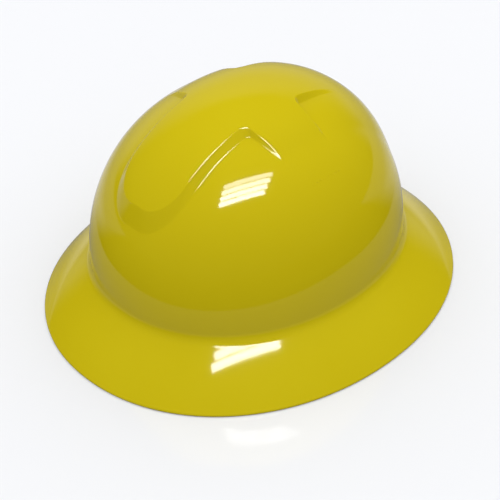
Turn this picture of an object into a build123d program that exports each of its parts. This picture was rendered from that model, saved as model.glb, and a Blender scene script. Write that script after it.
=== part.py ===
from build123d import *
from math import acos, asin, atan2, cos, degrees, hypot, pi, radians, sin, sqrt, tan
import os

os.makedirs("parts", exist_ok=True)

# Full brim hard hat: a one-piece shell over a four-point webbing suspension with a ratchet nape strap.
# The front looks along -Y, the wearer's left is +X, and the rim of the brim stands on z = 0.

# Shell: dome and brim
brim_half_length = 162.2
brim_bow_radius = 245.0
dome_half_length = 122.0
width_share = 0.899
dome_height = 161.0
dome_base = 41.8
dome_lean_angle = 1.93
top_handle_share = 0.67
side_handle_share = 0.516
root_round = 10.4
wall = 2.4
rim_edge = 1.1
rim_bevel = 0.6

# Shell: raised crown with a front tongue, two side lobes and a rear lobe
crown_lift = 5.5
crown_half_length = 125.0
crown_half_width = 95.9
crown_rearward = 0.5
crown_floor = 84.0
tongue_half_width = 28.9
tongue_reach = 102.7
tongue_round = 22.0
notch_half_width = 30.8
notch_front = 27.8
notch_rear = 22.6
notch_round = 8.0
lobe_reach = 76.0
lobe_taper = 11.0
lobe_round = 5.0
crest_round = 1.5

# Clearances
fit_gap = 0.3
running_gap = 0.06
snug_gap = 0.1
overrun = 12.0

# Suspension keys and their sockets in the shell
key_angle = 49.0
key_thickness = 2.8
key_width = 24.0
key_foot = 26.0
tongue_width = 20.4
socket_mouth = 62.0
socket_depth = 15.0
socket_wall = 1.6
socket_roof = 3.0
key_rib_width = 1.6
key_rib_height = 1.2
web_bar_height = 3.6
web_slot_height = 2.6
web_slot_margin = 2.9
ladder_channel = 5.2
ladder_lobe = 6.2
ladder_pitch = 6.0
ladder_steps = 3
ladder_top = 44.0

# Crown webbing
web_width = 19.0
web_thickness = 1.3
web_apex = 128.0
web_lift = 2.1
web_tuck = 5.0
web_leave_height = 62.0
web_lap = 24.0
patch_size = 44.0
patch_thickness = 1.6
patch_round = 6.0

# Headband
band_half_length = 111.0
band_half_width = 86.0
band_end_share = 0.884
band_thickness = 1.8
band_bottom = 22.0
band_top = 50.0
arm_bottom = 38.0
arm_rise_start = 28.0
arm_rise_end = 44.0
arm_end = 88.0
arm_end_round = 5.0
stud_radius = 2.4
stud_head_radius = 3.7
stud_head_thickness = 1.3
stud_boss_width = 14.0
stud_boss_height = 11.0
stud_boss_reach = 4.3
tab_slot_width = 12.0
tab_slot_height = 3.0
tab_slot_round = 1.0
tab_slot_rise = 5.0
tab_slot_count = 5
tab_slot_spread = 26.0

# Pads
brow_pad_thickness = 4.5
brow_pad_height = 31.0
brow_pad_end = -22.0
brow_pad_round = 1.9
nape_pad_thickness = 4.3
nape_pad_width = 62.0
nape_pad_height = 24.0
nape_pad_round = 1.8

# Nape straps and their side pivots
pivot_y = 8.0
pivot_z = 40.0
nape_drop_angle = 13.2
strap_height = 16.0
strap_thickness = 1.4
strap_layer = 0.9
strap_side_gap = 0.9
strap_side_start = -8.0
strap_side_inset = 6.3
strap_flat_half = 34.5
strap_corner_radius = 26.0
strap_tail = 13.0
rivet_radius = 3.0
rivet_head_radius = 5.5
rivet_head_thickness = 1.0

# Rack and pinion
tooth_module = 0.8
pinion_teeth = 10
pressure_angle = 20.0
tooth_turn_shares = (1.3, 0.9, 0.4)
rack_loosen = 21.0
rack_tighten = 8.0
backlash = 0.24
journal_radius = 2.5
hub_radius = 4.9

# Ratchet housing
housing_width = 70.0
housing_height = 26.5
housing_round = 9.0
base_thickness = 1.5
cover_thickness = 1.6
rail_gap = 0.3
ring_outer = 12.6
ring_height = 2.6
ring_tooth_depth = 0.9
ring_teeth = 24
ring_wall = 1.3
screw_spread = 52.0
screw_radius = 1.1
screw_head_radius = 1.8
screw_head_thickness = 0.9

# Knob and click spring
knob_radius = 15.8
knob_skirt = 2.2
knob_face = 3.0
knob_dome = 0.8
knob_flutes = 14
flute_radius = 2.6
flute_depth = 0.9
click_ring_radius = 7.6
click_ring_width = 1.4
click_arm_width = 1.3
click_arm_turn = 62.0
click_nose_share = 0.75
click_thickness = 1.8
drive_width = 6.2
drive_length = 2.0
core_screw_radius = 1.4
core_screw_head = 3.6
core_screw_head_thickness = 1.2


def save(shape, name):
    export_step(shape, f"parts/{name}.step")


def box_between(low, high):
    size = [b - a for a, b in zip(low, high)]
    return Pos(*low) * Box(*size, align=(Align.MIN, Align.MIN, Align.MIN))


# Shell


def dome_line(radius, top):
    side_handle = dome_base + (top - dome_base) * side_handle_share
    return Bezier((0, top), (radius * top_handle_share, top), (radius, side_handle), (radius, dome_base))


def brim_centre():
    """Centre of the brim's bowed section, which is tangent to the root fillet and ends at the rim's edge."""
    root_x = dome_half_length + root_round
    out = brim_half_length - root_x
    down = dome_base - rim_edge
    chord = hypot(out, down)
    reach = brim_bow_radius + root_round
    along = (chord ** 2 + reach ** 2 - brim_bow_radius ** 2) / (2 * chord)
    aside = sqrt(reach ** 2 - along ** 2)
    return root_x + (out * along - down * aside) / chord, dome_base - (down * along + out * aside) / chord


def leaned(shape, narrowing):
    """Dome shape narrowed in X and leaned to the rear above the dome's base."""
    lean = tan(radians(dome_lean_angle))
    return shape.transform_geometry(Matrix([[narrowing, 0, 0, 0], [0, 1, lean, -lean * dome_base], [0, 0, 1, 0]]))


def round_dome(radius, top):
    line = dome_line(radius, top)
    outline = [line, Line(line @ 1, (0, dome_base)), Line((0, dome_base), line @ 0)]
    return revolve(Plane.XZ * make_face(outline), Axis.Z)


def filled_shell(inset):
    """Solid of the shell's outer skin, or with an inset the space inside it, on past the rim plane."""
    dome = leaned(round_dome(dome_half_length - inset, dome_height - inset), width_share)
    x, z = brim_centre()
    lean = degrees(atan2(dome_base - z, dome_half_length + root_round - x))
    root = CenterArc((dome_half_length + root_round, dome_base), root_round + inset, 180, lean)
    radius = brim_bow_radius - inset
    foot = -overrun if inset else rim_edge
    end_lean = degrees(asin((foot - z) / radius))
    brim = CenterArc((x, z), radius, lean, end_lean - lean)
    land = (brim_half_length - rim_bevel, 0)
    below = (brim_half_length - rim_bevel, -overrun)
    rim = [] if inset else [Line(brim @ 1, land), Line(land, below)]
    outer_end = tuple(brim @ 1)[:2] if inset else below
    floor = Line(outer_end, (0, -overrun))
    axis = Line(floor @ 1, (0, dome_base))
    outline = [root, brim, *rim, floor, axis, Line(axis @ 1, root @ 0)]
    round_brim = revolve(Plane.XZ * make_face(outline), Axis.Z)
    return dome + scale(round_brim, by=(width_share, 1, 1))


def crown_plan(grow):
    side = [
        (tongue_half_width + grow, -tongue_reach - grow),
        (notch_half_width + grow, -notch_front - grow),
        (lobe_reach, -notch_front + lobe_taper - grow),
        (lobe_reach, notch_rear + grow),
        (notch_half_width + grow, notch_rear + grow),
        (notch_half_width + grow, tongue_reach),
    ]
    radii = [tongue_round, notch_round, lobe_round, lobe_round, notch_round, tongue_round]
    points = side + [(-x, y) for x, y in reversed(side)]
    return make_face(FilletPolyline(*points, radius=radii + radii[::-1], close=True))


def raised_crown(inset):
    """The raised cross of the crown, cut from a higher dome, with its outer crest rounded."""
    length = crown_half_length - inset
    top = dome_height + crown_lift - inset
    dome = scale(round_dome(length, top), by=((crown_half_width - inset) / length, 1, 1))
    column = extrude(Pos(0, 0, crown_floor) * crown_plan(-inset), top - crown_floor)
    crown = (Pos(0, crown_rearward, 0) * dome) & column
    if not inset:
        crown = fillet(crown.faces().sort_by(Axis.Z)[-1].edges(), crest_round)
    return leaned(crown, 1)


def key_angles():
    return {
        "front_left": -key_angle,
        "front_right": key_angle - 180,
        "rear_left": key_angle,
        "rear_right": 180 - key_angle,
    }


def key_reach():
    """Distance of the keys' inner faces from the middle: the headband's side arc plus its stud bosses."""
    _, _, side_radius, side_centre = band_arcs(0)
    a = radians(key_angle)
    band_reach = sqrt(side_radius ** 2 - (side_centre * sin(a)) ** 2) - side_centre * cos(a)
    return band_reach + stud_boss_reach + fit_gap


def wall_plane(angle, radius):
    """Upright plane that faces outward at a plan angle: local x runs round the hat, local y is up."""
    a = radians(angle)
    return Plane(
        origin=(radius * cos(a), radius * sin(a), 0),
        x_dir=(-sin(a), cos(a), 0),
        z_dir=(cos(a), sin(a), 0),
    )


def upright(width, bottom, top):
    return Pos(0, (bottom + top) / 2) * Rectangle(width, top - bottom)


def make_shell():
    outer = filled_shell(0) + raised_crown(0)
    inner = filled_shell(wall) + raised_crown(wall)
    below = (-brim_half_length, -brim_half_length, -2 * overrun)
    shell = outer - inner - box_between(below, (brim_half_length, brim_half_length, 0))
    key_radius = key_reach()
    inner_face = key_radius - fit_gap - socket_wall
    lug_top = socket_mouth + socket_depth + socket_roof
    lug_width = tongue_width + 2 * fit_gap + 2 * socket_wall
    slot_depth = key_thickness + 2 * fit_gap
    for angle in key_angles().values():
        lug = extrude(wall_plane(angle, inner_face) * upright(lug_width, socket_mouth, lug_top), overrun)
        slot_sketch = upright(tongue_width + 2 * fit_gap, socket_mouth - overrun, socket_mouth + socket_depth)
        slot = extrude(wall_plane(angle, key_radius - fit_gap) * slot_sketch, slot_depth)
        shell = shell + (lug & outer) - slot
    return shell


# Keys


def web_bar_centre():
    return socket_mouth - web_slot_margin - web_slot_height - web_bar_height / 2


def make_key(angle):
    shoulder = socket_mouth - fit_gap
    body = Pos(0, (key_foot + shoulder) / 2) * RectangleRounded(key_width, shoulder - key_foot, web_slot_margin)
    tongue = upright(tongue_width, shoulder - web_slot_margin, socket_mouth + socket_depth - fit_gap)
    slot_width = web_width + 4 * fit_gap
    slot_offset = (web_bar_height + web_slot_height) / 2
    outline = body + tongue
    for side in (-1, 1):
        outline -= Pos(0, web_bar_centre() + side * slot_offset) * Rectangle(slot_width, web_slot_height)
    ladder_length = ladder_pitch * (ladder_steps - 1)
    outline -= Pos(0, ladder_top - ladder_length / 2) * Rectangle(ladder_channel, ladder_length)
    for step in range(ladder_steps):
        outline -= Pos(0, ladder_top - step * ladder_pitch) * Circle(ladder_lobe / 2)
    plate = extrude(wall_plane(angle, key_reach()) * outline, key_thickness)
    rib_x = (key_width - key_rib_width) / 2
    rib_sketch = Sketch() + [
        Pos(side * rib_x) * upright(key_rib_width, key_foot + web_slot_margin, shoulder - web_slot_margin)
        for side in (-1, 1)
    ]
    ribs = extrude(wall_plane(angle, key_reach() + key_thickness) * rib_sketch, key_rib_height)
    return plate + ribs


# Crown webbing


def web_leave_radius():
    return key_reach() - web_tuck


def web_arc(apex):
    drop = apex - web_leave_height
    radius = (web_leave_radius() ** 2 + drop ** 2) / (2 * drop)
    return apex - radius, radius


def web_band(apex, shift, first, last):
    """Face between two arcs of one strap, in its upright plane, from one angle off the top to another."""
    centre, radius = web_arc(apex)
    inner = radius + shift - web_thickness / 2
    outer = inner + web_thickness
    low = CenterArc((0, centre), inner, 90 - last, last - first)
    high = CenterArc((0, centre), outer, 90 - last, last - first)
    return make_face([low, Line(low @ 1, high @ 1), high, Line(low @ 0, high @ 0)])


def strap_plane(angle, side):
    """Upright plane along a strap: local x runs outward at the plan angle, local y is up."""
    a = radians(angle)
    return Plane(
        origin=(0, 0, 0),
        x_dir=(side * cos(a), side * sin(a), 0),
        z_dir=(side * sin(a), -side * cos(a), 0),
    )


def make_crown_strap(angle, apex):
    centre, radius = web_arc(apex)
    end_turn = degrees(atan2(web_leave_radius(), web_leave_height - centre))
    lap_turn = degrees(web_lap / radius)
    half = web_band(apex, 0, 0, end_turn) + web_band(apex, web_thickness, end_turn - lap_turn, end_turn)
    bar = (key_reach() + key_thickness / 2, web_bar_centre())
    hole_size = (key_thickness + 2 * fit_gap, web_bar_height + 2 * fit_gap)
    loop_size = [side + 2 * web_thickness for side in hole_size]
    hole = Pos(*bar) * RectangleRounded(*hole_size, fit_gap)
    loop = Pos(*bar) * RectangleRounded(*loop_size, web_thickness)
    loop_inner = bar[0] - loop_size[0] / 2
    loop_top = bar[1] + loop_size[1] / 2
    leave = web_band(apex, 0, 0, end_turn).vertices().sort_by(Axis.Y)[:2]
    low_point = leave.sort_by(Axis.X)[0]
    lap_outer = radius + 1.5 * web_thickness
    lap_end = (lap_outer * sin(radians(end_turn)), centre + lap_outer * cos(radians(end_turn)))
    joint = make_face(Polyline(
        (low_point.X, low_point.Y),
        lap_end,
        (loop_inner + web_thickness, loop_top),
        (loop_inner + web_thickness, bar[1]),
        (loop_inner, bar[1]),
        close=True,
    ))
    profile = half + loop + joint - hole
    halves = [extrude(strap_plane(angle, side) * profile, web_width / 2, both=True) for side in (1, -1)]
    return halves[0] + halves[1]


def make_crown_patch():
    centre, radius = web_arc(web_apex + web_lift)
    inner = radius + web_thickness / 2 + fit_gap
    ring = Circle(inner + patch_thickness) - Circle(inner)
    skin = extrude(strap_plane(key_angle, 1) * (Pos(0, centre) * ring), patch_size, both=True)
    patch = Rot(0, 0, key_angle) * RectangleRounded(patch_size, patch_size, patch_round)
    column = extrude(Pos(0, 0, centre) * patch, inner + 2 * patch_thickness)
    return skin & column


# Headband


def band_arcs(inset):
    """Radii of the headband's end arcs and side arcs in plan, with the distance of their centres."""
    half_width = band_half_width - inset
    end_radius = band_half_width * band_end_share - inset
    end_centre = band_half_length - band_half_width * band_end_share
    side_radius = (half_width ** 2 + end_centre ** 2 - end_radius ** 2) / (2 * (half_width - end_radius))
    return end_radius, end_centre, side_radius, side_radius - half_width


def band_column(inset, bottom, top):
    """Upright column on the headband's plan, an oval of four tangent arcs, drawn in by an inset."""
    end_radius, end_centre, side_radius, side_centre = band_arcs(inset)
    turn = degrees(atan2(end_centre, side_centre))
    plan = make_face([
        CenterArc((-side_centre, 0), side_radius, -turn, 2 * turn),
        CenterArc((0, end_centre), end_radius, turn, 180 - 2 * turn),
        CenterArc((side_centre, 0), side_radius, 180 - turn, 2 * turn),
        CenterArc((0, -end_centre), end_radius, 180 + turn, 180 - 2 * turn),
    ])
    return extrude(Pos(0, 0, bottom) * plan, top - bottom)


def arm_cut():
    """Prism right across the hat that leaves the headband's two arms, with rounded ends, behind the sides."""
    rise = make_face(Polyline(
        (arm_rise_start, band_bottom - overrun),
        (arm_rise_start, band_bottom),
        (arm_rise_end, arm_bottom),
        (arm_rise_end + overrun, arm_bottom),
        (arm_rise_end + overrun, band_bottom - overrun),
        close=True,
    ))
    height = band_top - arm_bottom
    rear_length = band_half_length + overrun - arm_rise_end
    rear = Pos(arm_rise_end + rear_length / 2, (band_bottom + band_top) / 2)
    rear_part = rear * Rectangle(rear_length, band_top - band_bottom + 2 * overrun)
    arm = Pos(arm_end / 2, (arm_bottom + band_top) / 2) * RectangleRounded(arm_end, height, arm_end_round)
    return extrude(Plane.YZ * (rise + (rear_part - arm)), band_half_width + overrun, both=True)


def make_headband():
    inside = band_column(band_thickness, band_bottom - overrun, band_top + overrun)
    band = band_column(0, band_bottom, band_top) - inside
    tab_slot = RectangleRounded(tab_slot_width, tab_slot_height, tab_slot_round)
    for index in range(tab_slot_count):
        turn = (index - (tab_slot_count - 1) / 2) * tab_slot_spread
        sketch = wall_plane(turn - 90, band_half_width / 2) * (Pos(0, band_bottom + tab_slot_rise) * tab_slot)
        band -= extrude(sketch, band_half_length)
    band -= arm_cut()
    start = band_half_width - band_thickness
    key_radius = key_reach()
    boss_radius = key_radius - fit_gap
    head_radius = key_radius + key_thickness + fit_gap
    boss_outline = upright(stud_boss_width, band_top - stud_boss_height, band_top)
    stud_centre = Pos(0, ladder_top)
    for angle in key_angles().values():
        boss = extrude(wall_plane(angle, start) * boss_outline, boss_radius - start)
        stud = extrude(wall_plane(angle, boss_radius) * (stud_centre * Circle(stud_radius)), head_radius - boss_radius)
        head = extrude(wall_plane(angle, head_radius) * (stud_centre * Circle(stud_head_radius)), stud_head_thickness)
        band += (boss - inside) + stud + head
    hole = Pos(0, pivot_y, pivot_z) * Rot(0, 90, 0) * Cylinder(rivet_radius + running_gap, 3 * band_half_width)
    return band - hole


def make_brow_pad():
    outer_inset = band_thickness + fit_gap
    middle = (band_bottom + band_top) / 2
    bottom = middle - brow_pad_height / 2
    top = middle + brow_pad_height / 2
    pad = band_column(outer_inset, bottom, top)
    pad -= band_column(outer_inset + brow_pad_thickness, bottom, top)
    pad &= box_between((-band_half_width, -band_half_length, bottom), (band_half_width, brow_pad_end, top))
    inner_radii = band_arcs(outer_inset + brow_pad_thickness)[::2]
    rims = pad.edges().group_by(Axis.Z)
    inner_edges = [
        edge for edge in rims[0] + rims[-1]
        if edge.geom_type == GeomType.CIRCLE and min(abs(edge.radius - radius) for radius in inner_radii) < fit_gap
    ]
    return fillet(inner_edges, brow_pad_round)


# Nape yoke: every piece is drawn in a frame at the side pivots that slopes down to the rear


def nape_plane():
    drop = radians(nape_drop_angle)
    return Plane(origin=(0, pivot_y, pivot_z), x_dir=(1, 0, 0), z_dir=(0, sin(drop), cos(drop)))


def in_nape(shape):
    return nape_plane().location * shape


def rear_plane(depth):
    """Plane across the nape frame at a depth behind the pivots: local x is -X, local y is up."""
    return Plane(origin=(0, depth, 0), x_dir=(-1, 0, 0), z_dir=(0, 1, 0))


def strap_side():
    """Distance of the strap's middle layer from the hat's middle at the side pivots."""
    return band_half_width - band_thickness - strap_side_gap - strap_thickness / 2


def strap_path(side, layer):
    """Plan curve from the side pivot round the corner, across the back and along the other corner."""
    start = (side * strap_side(), strap_side_start + layer)
    side_radius = band_arcs(strap_side_inset)[2]
    reach = strap_flat_half - strap_side() + side_radius
    side_turn = degrees(acos(reach / (side_radius - strap_corner_radius)))
    first = JernArc(start, (0, 1), side_radius, side * side_turn)
    corner_turn = 90 - side_turn
    second = JernArc(first @ 1, first % 1, strap_corner_radius, side * corner_turn)
    flat_end = (-(second @ 1).X, (second @ 1).Y)
    flat = Line(second @ 1, flat_end)
    tail_turn = degrees(strap_tail / strap_corner_radius)
    tail = JernArc(flat_end, (-side, 0), strap_corner_radius, side * tail_turn)
    return Wire([first, second, flat, tail])


def strap_depth(layer):
    return (strap_path(1, layer).edges()[2] @ 0).Y


def rack_window(side):
    """Window with rack teeth on one long side: the left strap's teeth are above the pinion."""
    pitch = pi * tooth_module
    pitch_line = pinion_teeth * tooth_module / 2
    tip = pitch_line - tooth_module + fit_gap
    root = pitch_line + tooth_module + fit_gap
    clear = pitch_line + tooth_module + 2 * fit_gap
    half_gap = pitch / 4 + backlash / 2
    lean = tooth_module * tan(radians(pressure_angle))
    reach = pitch_line + tooth_module + 2 * fit_gap
    first = -int((rack_tighten + reach) / pitch)
    last = int((rack_loosen + reach) / pitch)
    points = []
    for index in range(first, last + 1):
        middle = index * pitch
        points += [
            (middle - half_gap - lean, tip),
            (middle - half_gap + lean, root),
            (middle + half_gap - lean, root),
            (middle + half_gap + lean, tip),
        ]
    left = points[0][0] - fit_gap
    right = points[-1][0] + fit_gap
    points = [(left, tip)] + points + [(right, tip), (right, -clear), (left, -clear)]
    face = make_face(Polyline(*points, close=True))
    return face if side > 0 else Rot(0, 0, 180) * face


def make_nape_strap(side):
    layer = -side * strap_layer
    path = strap_path(side, layer)
    plan = make_face(offset(path, strap_thickness / 2, side=Side.BOTH))
    strap = extrude(Pos(0, 0, -strap_height / 2) * plan, strap_height)
    end_round = strap_height / 2
    near = Pos(-side * strap_height, 0, 0) * Rot(0, 90, 0) * Cylinder(end_round, 2 * band_half_width)
    keep = box_between((-band_half_width, 0, -end_round), (band_half_width, band_half_length, end_round)) + near
    strap &= keep
    depth = strap_depth(layer) + strap_thickness
    window = extrude(rear_plane(depth) * rack_window(side), -2 * strap_thickness)
    strap -= window
    hole = Pos(side * strap_side(), 0, 0) * Rot(0, 90, 0) * Cylinder(rivet_radius + running_gap, strap_height)
    return in_nape(strap - hole)


def side_disc(radius, start, end):
    """Round bar along the pivots' axis between two distances from the middle of the hat."""
    plane = Plane(origin=(start, 0, 0), x_dir=(0, 1, 0), z_dir=(1, 0, 0))
    return extrude(plane * Circle(radius), end - start)


def make_pivot_rivet(side):
    inner = strap_side() - strap_thickness - 2 * fit_gap
    outer = band_half_width + fit_gap
    inner_head = side_disc(rivet_head_radius, inner - rivet_head_thickness, inner)
    outer_head = side_disc(rivet_head_radius, outer, outer + rivet_head_thickness)
    rivet = inner_head + side_disc(rivet_radius, inner, outer) + outer_head
    ends = rivet.edges().group_by(Axis.X)
    rivet = chamfer(ends[0] + ends[-1], rivet_head_thickness / 2)
    return in_nape(rivet if side > 0 else mirror(rivet, Plane.YZ))


# Ratchet: depths behind the pivots, in the nape frame


def depths():
    channel = strap_layer + strap_thickness / 2 + rail_gap
    middle = strap_depth(0)
    floor = middle - channel
    roof = middle + channel
    return {
        "base_inner": floor - base_thickness,
        "floor": floor,
        "middle": middle,
        "roof": roof,
        "cover_outer": roof + cover_thickness,
        "ring_top": roof + cover_thickness + ring_height,
        "knob_under": roof + cover_thickness + ring_height + fit_gap,
        "knob_outer": roof + cover_thickness + ring_height + fit_gap + knob_face,
    }


def across(sketch, start, end):
    """Solid of a sketch in the rear plane between two depths."""
    return extrude(rear_plane(start) * sketch, end - start)


def screw_points():
    rise = (housing_height - strap_height) / 4 + strap_height / 2
    half = screw_spread / 2
    return [(x, y) for x in (-half, half) for y in (-rise, rise)]


def housing_outline():
    return RectangleRounded(housing_width, housing_height, housing_round)


def make_ratchet_base():
    d = depths()
    base = across(housing_outline(), d["base_inner"], d["roof"])
    channel = Rectangle(2 * housing_width, strap_height + 2 * rail_gap)
    base -= across(channel, d["floor"], d["roof"])
    base -= across(Circle(journal_radius + running_gap), d["base_inner"], d["floor"])
    for x, y in screw_points():
        base -= across(Pos(x, y) * Circle(screw_radius), d["floor"], d["roof"])
    return in_nape(base)


def toothed_ring():
    """Ring with ratchet teeth on its inside."""
    root = ring_outer - ring_wall
    crest = root - ring_tooth_depth
    points = []
    for index in range(ring_teeth):
        a = 2 * pi * index / ring_teeth
        b = 2 * pi * (index + 0.5) / ring_teeth
        points += [(root * cos(a), root * sin(a)), (crest * cos(b), crest * sin(b))]
    return Circle(ring_outer) - make_face(Polyline(*points, close=True))


def make_ratchet_cover():
    d = depths()
    cover = across(housing_outline(), d["roof"], d["cover_outer"])
    cover = fillet(cover.edges().group_by(Axis.Y)[-1], cover_thickness / 2)
    cover += across(toothed_ring(), d["cover_outer"], d["ring_top"])
    cover -= across(Circle(hub_radius + running_gap), d["roof"], d["ring_top"])
    for x, y in screw_points():
        cover -= across(Pos(x, y) * Circle(screw_radius + snug_gap), d["roof"], d["cover_outer"])
    return in_nape(cover)


def make_cover_screws():
    d = depths()
    screws = []
    for x, y in screw_points():
        shank = across(Pos(x, y) * Circle(screw_radius - snug_gap), d["floor"] + rail_gap, d["cover_outer"])
        head_end = d["cover_outer"] + screw_head_thickness
        head = across(Pos(x, y) * Circle(screw_head_radius), d["cover_outer"], head_end)
        cross = Rectangle(screw_head_radius, fit_gap) + Rectangle(fit_gap, screw_head_radius)
        head -= across(Pos(x, y) * cross, head_end - screw_head_thickness / 2, head_end)
        screws.append(in_nape(shank + head))
    return Compound(children=screws)


def make_nape_pad():
    d = depths()
    outer = d["base_inner"] - fit_gap
    pad = across(
        RectangleRounded(nape_pad_width, nape_pad_height, housing_round),
        outer - nape_pad_thickness,
        outer,
    )
    pad = fillet(pad.edges().group_by(Axis.Y)[0], nape_pad_round)
    recess = core_screw_head_thickness + 2 * fit_gap
    pad -= across(Circle(core_screw_head + 2 * fit_gap), outer - recess, outer)
    return in_nape(pad)


def pinion_outline():
    pitch_radius = pinion_teeth * tooth_module / 2
    tip = pitch_radius + tooth_module
    root = pitch_radius - tooth_module
    half_pitch = pi / pinion_teeth / 2
    flank = list(zip((root, pitch_radius, tip), tooth_turn_shares))
    points = []
    for index in range(pinion_teeth):
        middle = 2 * pi * index / pinion_teeth + pi / 2
        for radius, turn in [(r, -share) for r, share in flank] + flank[::-1]:
            a = middle + turn * half_pitch
            points.append((radius * cos(a), radius * sin(a)))
    return make_face(Polyline(*points, close=True))


def make_pinion():
    d = depths()
    gear = across(pinion_outline(), d["floor"] + snug_gap, d["roof"] - snug_gap)
    journal = across(Circle(journal_radius), d["base_inner"], d["floor"] + snug_gap)
    hub = across(Circle(hub_radius), d["roof"] - snug_gap, d["knob_under"] - fit_gap)
    drive = across(Rectangle(drive_width, drive_width), d["knob_under"] - fit_gap, d["knob_under"] + drive_length)
    bore = across(Circle(core_screw_radius + snug_gap), d["base_inner"], d["knob_outer"])
    return in_nape(gear + journal + hub + drive - bore)


def make_click_spring():
    d = depths()
    start = d["cover_outer"] + fit_gap
    end = start + click_thickness
    reach = ring_outer - ring_wall - ring_tooth_depth - fit_gap
    spring = across(Circle(click_ring_radius) - Circle(hub_radius + snug_gap), start, end)
    for half in (0, 180):
        tip = Vector(reach - click_arm_width, 0).rotate(Axis.Z, half + click_arm_turn)
        foot = Vector(click_ring_radius - click_ring_width, 0).rotate(Axis.Z, half)
        bow = Vector(reach - click_arm_width / 2, 0).rotate(Axis.Z, half + click_arm_turn / 2)
        line = ThreePointArc(foot, bow, tip)
        arm = make_face(offset(Wire([line]), click_arm_width / 2, side=Side.BOTH))
        spring += across(arm, start, end)
        nose = Pos(tip.X, tip.Y) * Circle(click_arm_width * click_nose_share)
        spring += across(nose, start, end)
    spring -= across(Circle(hub_radius + snug_gap), start, end)
    return in_nape(spring)


def make_knob():
    d = depths()
    under = d["cover_outer"] + fit_gap
    grip = Circle(knob_radius)
    flute_centre = knob_radius + flute_radius - flute_depth
    for location in PolarLocations(flute_centre, knob_flutes):
        grip -= location * Circle(flute_radius)
    body = across(grip, under, d["knob_outer"])
    body = chamfer(body.edges().group_by(Axis.Y)[-1], knob_dome)
    cavity = Circle(knob_radius - flute_depth - knob_skirt)
    body -= across(cavity, under, d["knob_under"])
    socket = Rectangle(drive_width + 2 * snug_gap, drive_width + 2 * snug_gap)
    body -= across(socket, d["knob_under"], d["knob_under"] + drive_length + snug_gap)
    return in_nape(body)


def make_knob_screw():
    d = depths()
    head_start = d["base_inner"] - core_screw_head_thickness - fit_gap / 2
    head = across(Circle(core_screw_head), head_start, head_start + core_screw_head_thickness)
    shank_end = d["knob_under"] + drive_length
    shank = across(Circle(core_screw_radius), head_start, shank_end)
    cross = Rectangle(core_screw_head, 2 * fit_gap) + Rectangle(2 * fit_gap, core_screw_head)
    cross_cut = across(cross, head_start, head_start + core_screw_head_thickness / 2)
    return in_nape(head + shank - cross_cut)


save(make_shell(), "shell")
for place, angle in key_angles().items():
    save(make_key(angle), f"key_{place}")
save(make_crown_strap(-key_angle, web_apex), "crown_strap_lower")
save(make_crown_strap(key_angle, web_apex + web_lift), "crown_strap_upper")
save(make_crown_patch(), "crown_patch")
save(make_headband(), "headband")
save(make_brow_pad(), "brow_pad")
for side, name in ((1, "left"), (-1, "right")):
    save(make_nape_strap(side), f"nape_strap_{name}")
    save(make_pivot_rivet(side), f"pivot_rivet_{name}")
save(make_ratchet_base(), "ratchet_base")
save(make_ratchet_cover(), "ratchet_cover")
save(make_cover_screws(), "cover_screws")
save(make_nape_pad(), "nape_pad")
save(make_pinion(), "pinion")
save(make_click_spring(), "click_spring")
save(make_knob(), "knob")
save(make_knob_screw(), "knob_screw")
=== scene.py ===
from math import acos, asin, atan2, cos, degrees, exp, hypot, pi, radians, sin, sqrt, tan

import bmesh
import bpy
import numpy as np
from mathutils import Matrix, Vector


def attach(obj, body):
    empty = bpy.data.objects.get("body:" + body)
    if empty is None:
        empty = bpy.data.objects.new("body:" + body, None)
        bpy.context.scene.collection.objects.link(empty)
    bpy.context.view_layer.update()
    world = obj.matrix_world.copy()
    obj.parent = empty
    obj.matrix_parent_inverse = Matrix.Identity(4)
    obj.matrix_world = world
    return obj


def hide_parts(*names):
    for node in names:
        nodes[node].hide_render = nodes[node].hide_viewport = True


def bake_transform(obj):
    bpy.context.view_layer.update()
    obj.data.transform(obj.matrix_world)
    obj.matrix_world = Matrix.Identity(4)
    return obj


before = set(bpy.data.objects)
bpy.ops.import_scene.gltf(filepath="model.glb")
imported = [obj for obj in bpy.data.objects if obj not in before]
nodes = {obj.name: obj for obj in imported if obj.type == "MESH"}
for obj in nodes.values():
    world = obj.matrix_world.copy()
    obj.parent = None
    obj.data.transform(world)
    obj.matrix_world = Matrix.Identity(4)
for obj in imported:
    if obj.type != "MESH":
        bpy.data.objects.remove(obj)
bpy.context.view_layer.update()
mm = 0.001

# Shell: dome and brim, the sizes of the frame's shell

brim_half_length = 162.2 * mm
dome_half_length = 122.0 * mm
width_share = 0.899
plan_power = 2.08
dome_height = 161.0 * mm
dome_base = 41.8 * mm
dome_lean = 0.0337
top_handle_share = 0.67
side_handle_share = 0.516
root_round = 10.4 * mm
brim_bow = radians(5.6)
wall = 2.4 * mm
rim_edge = 1.3 * mm
rim_round = 0.8 * mm
rim_corner_shares = ((0.1, 0.45), (0.35, 0.12), (0.7, 0.0))
rim_ring_width = 0.3 * mm
rim_ring_rise = 0.15 * mm
rim_top_inset = 0.05 * mm

# Shell: raised crown

crown_lift = 5.5 * mm
crown_half_length = 125.0 * mm
crown_half_width = 99.0 * mm
crown_rearward = 0.5 * mm
crown_blend = 0.5 * mm
ramp_run = 6.3 * mm
rear_run = 3.4 * mm
step_run = 1.9 * mm
crest_round = 0.55 * mm
tongue_tip_half_width = 27.0 * mm
tongue_reach = 100.9 * mm
tongue_round = 22.0 * mm
notch_half_width = 28.4 * mm
notch_front = 25.0 * mm
notch_rear = 20.0 * mm
notch_round = 6.0 * mm
lobe_reach = 80.0 * mm
lobe_taper = 11.0 * mm
lobe_round = 4.0 * mm
rear_merge_start = 22.0 * mm
rear_merge_end = 66.0 * mm
wall_fade_low = 46.0 * mm
wall_fade_high = 108.0 * mm

# Shell: fineness of its mesh; a skin's rings lie on the crown, on its wall and on the dome below

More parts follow.
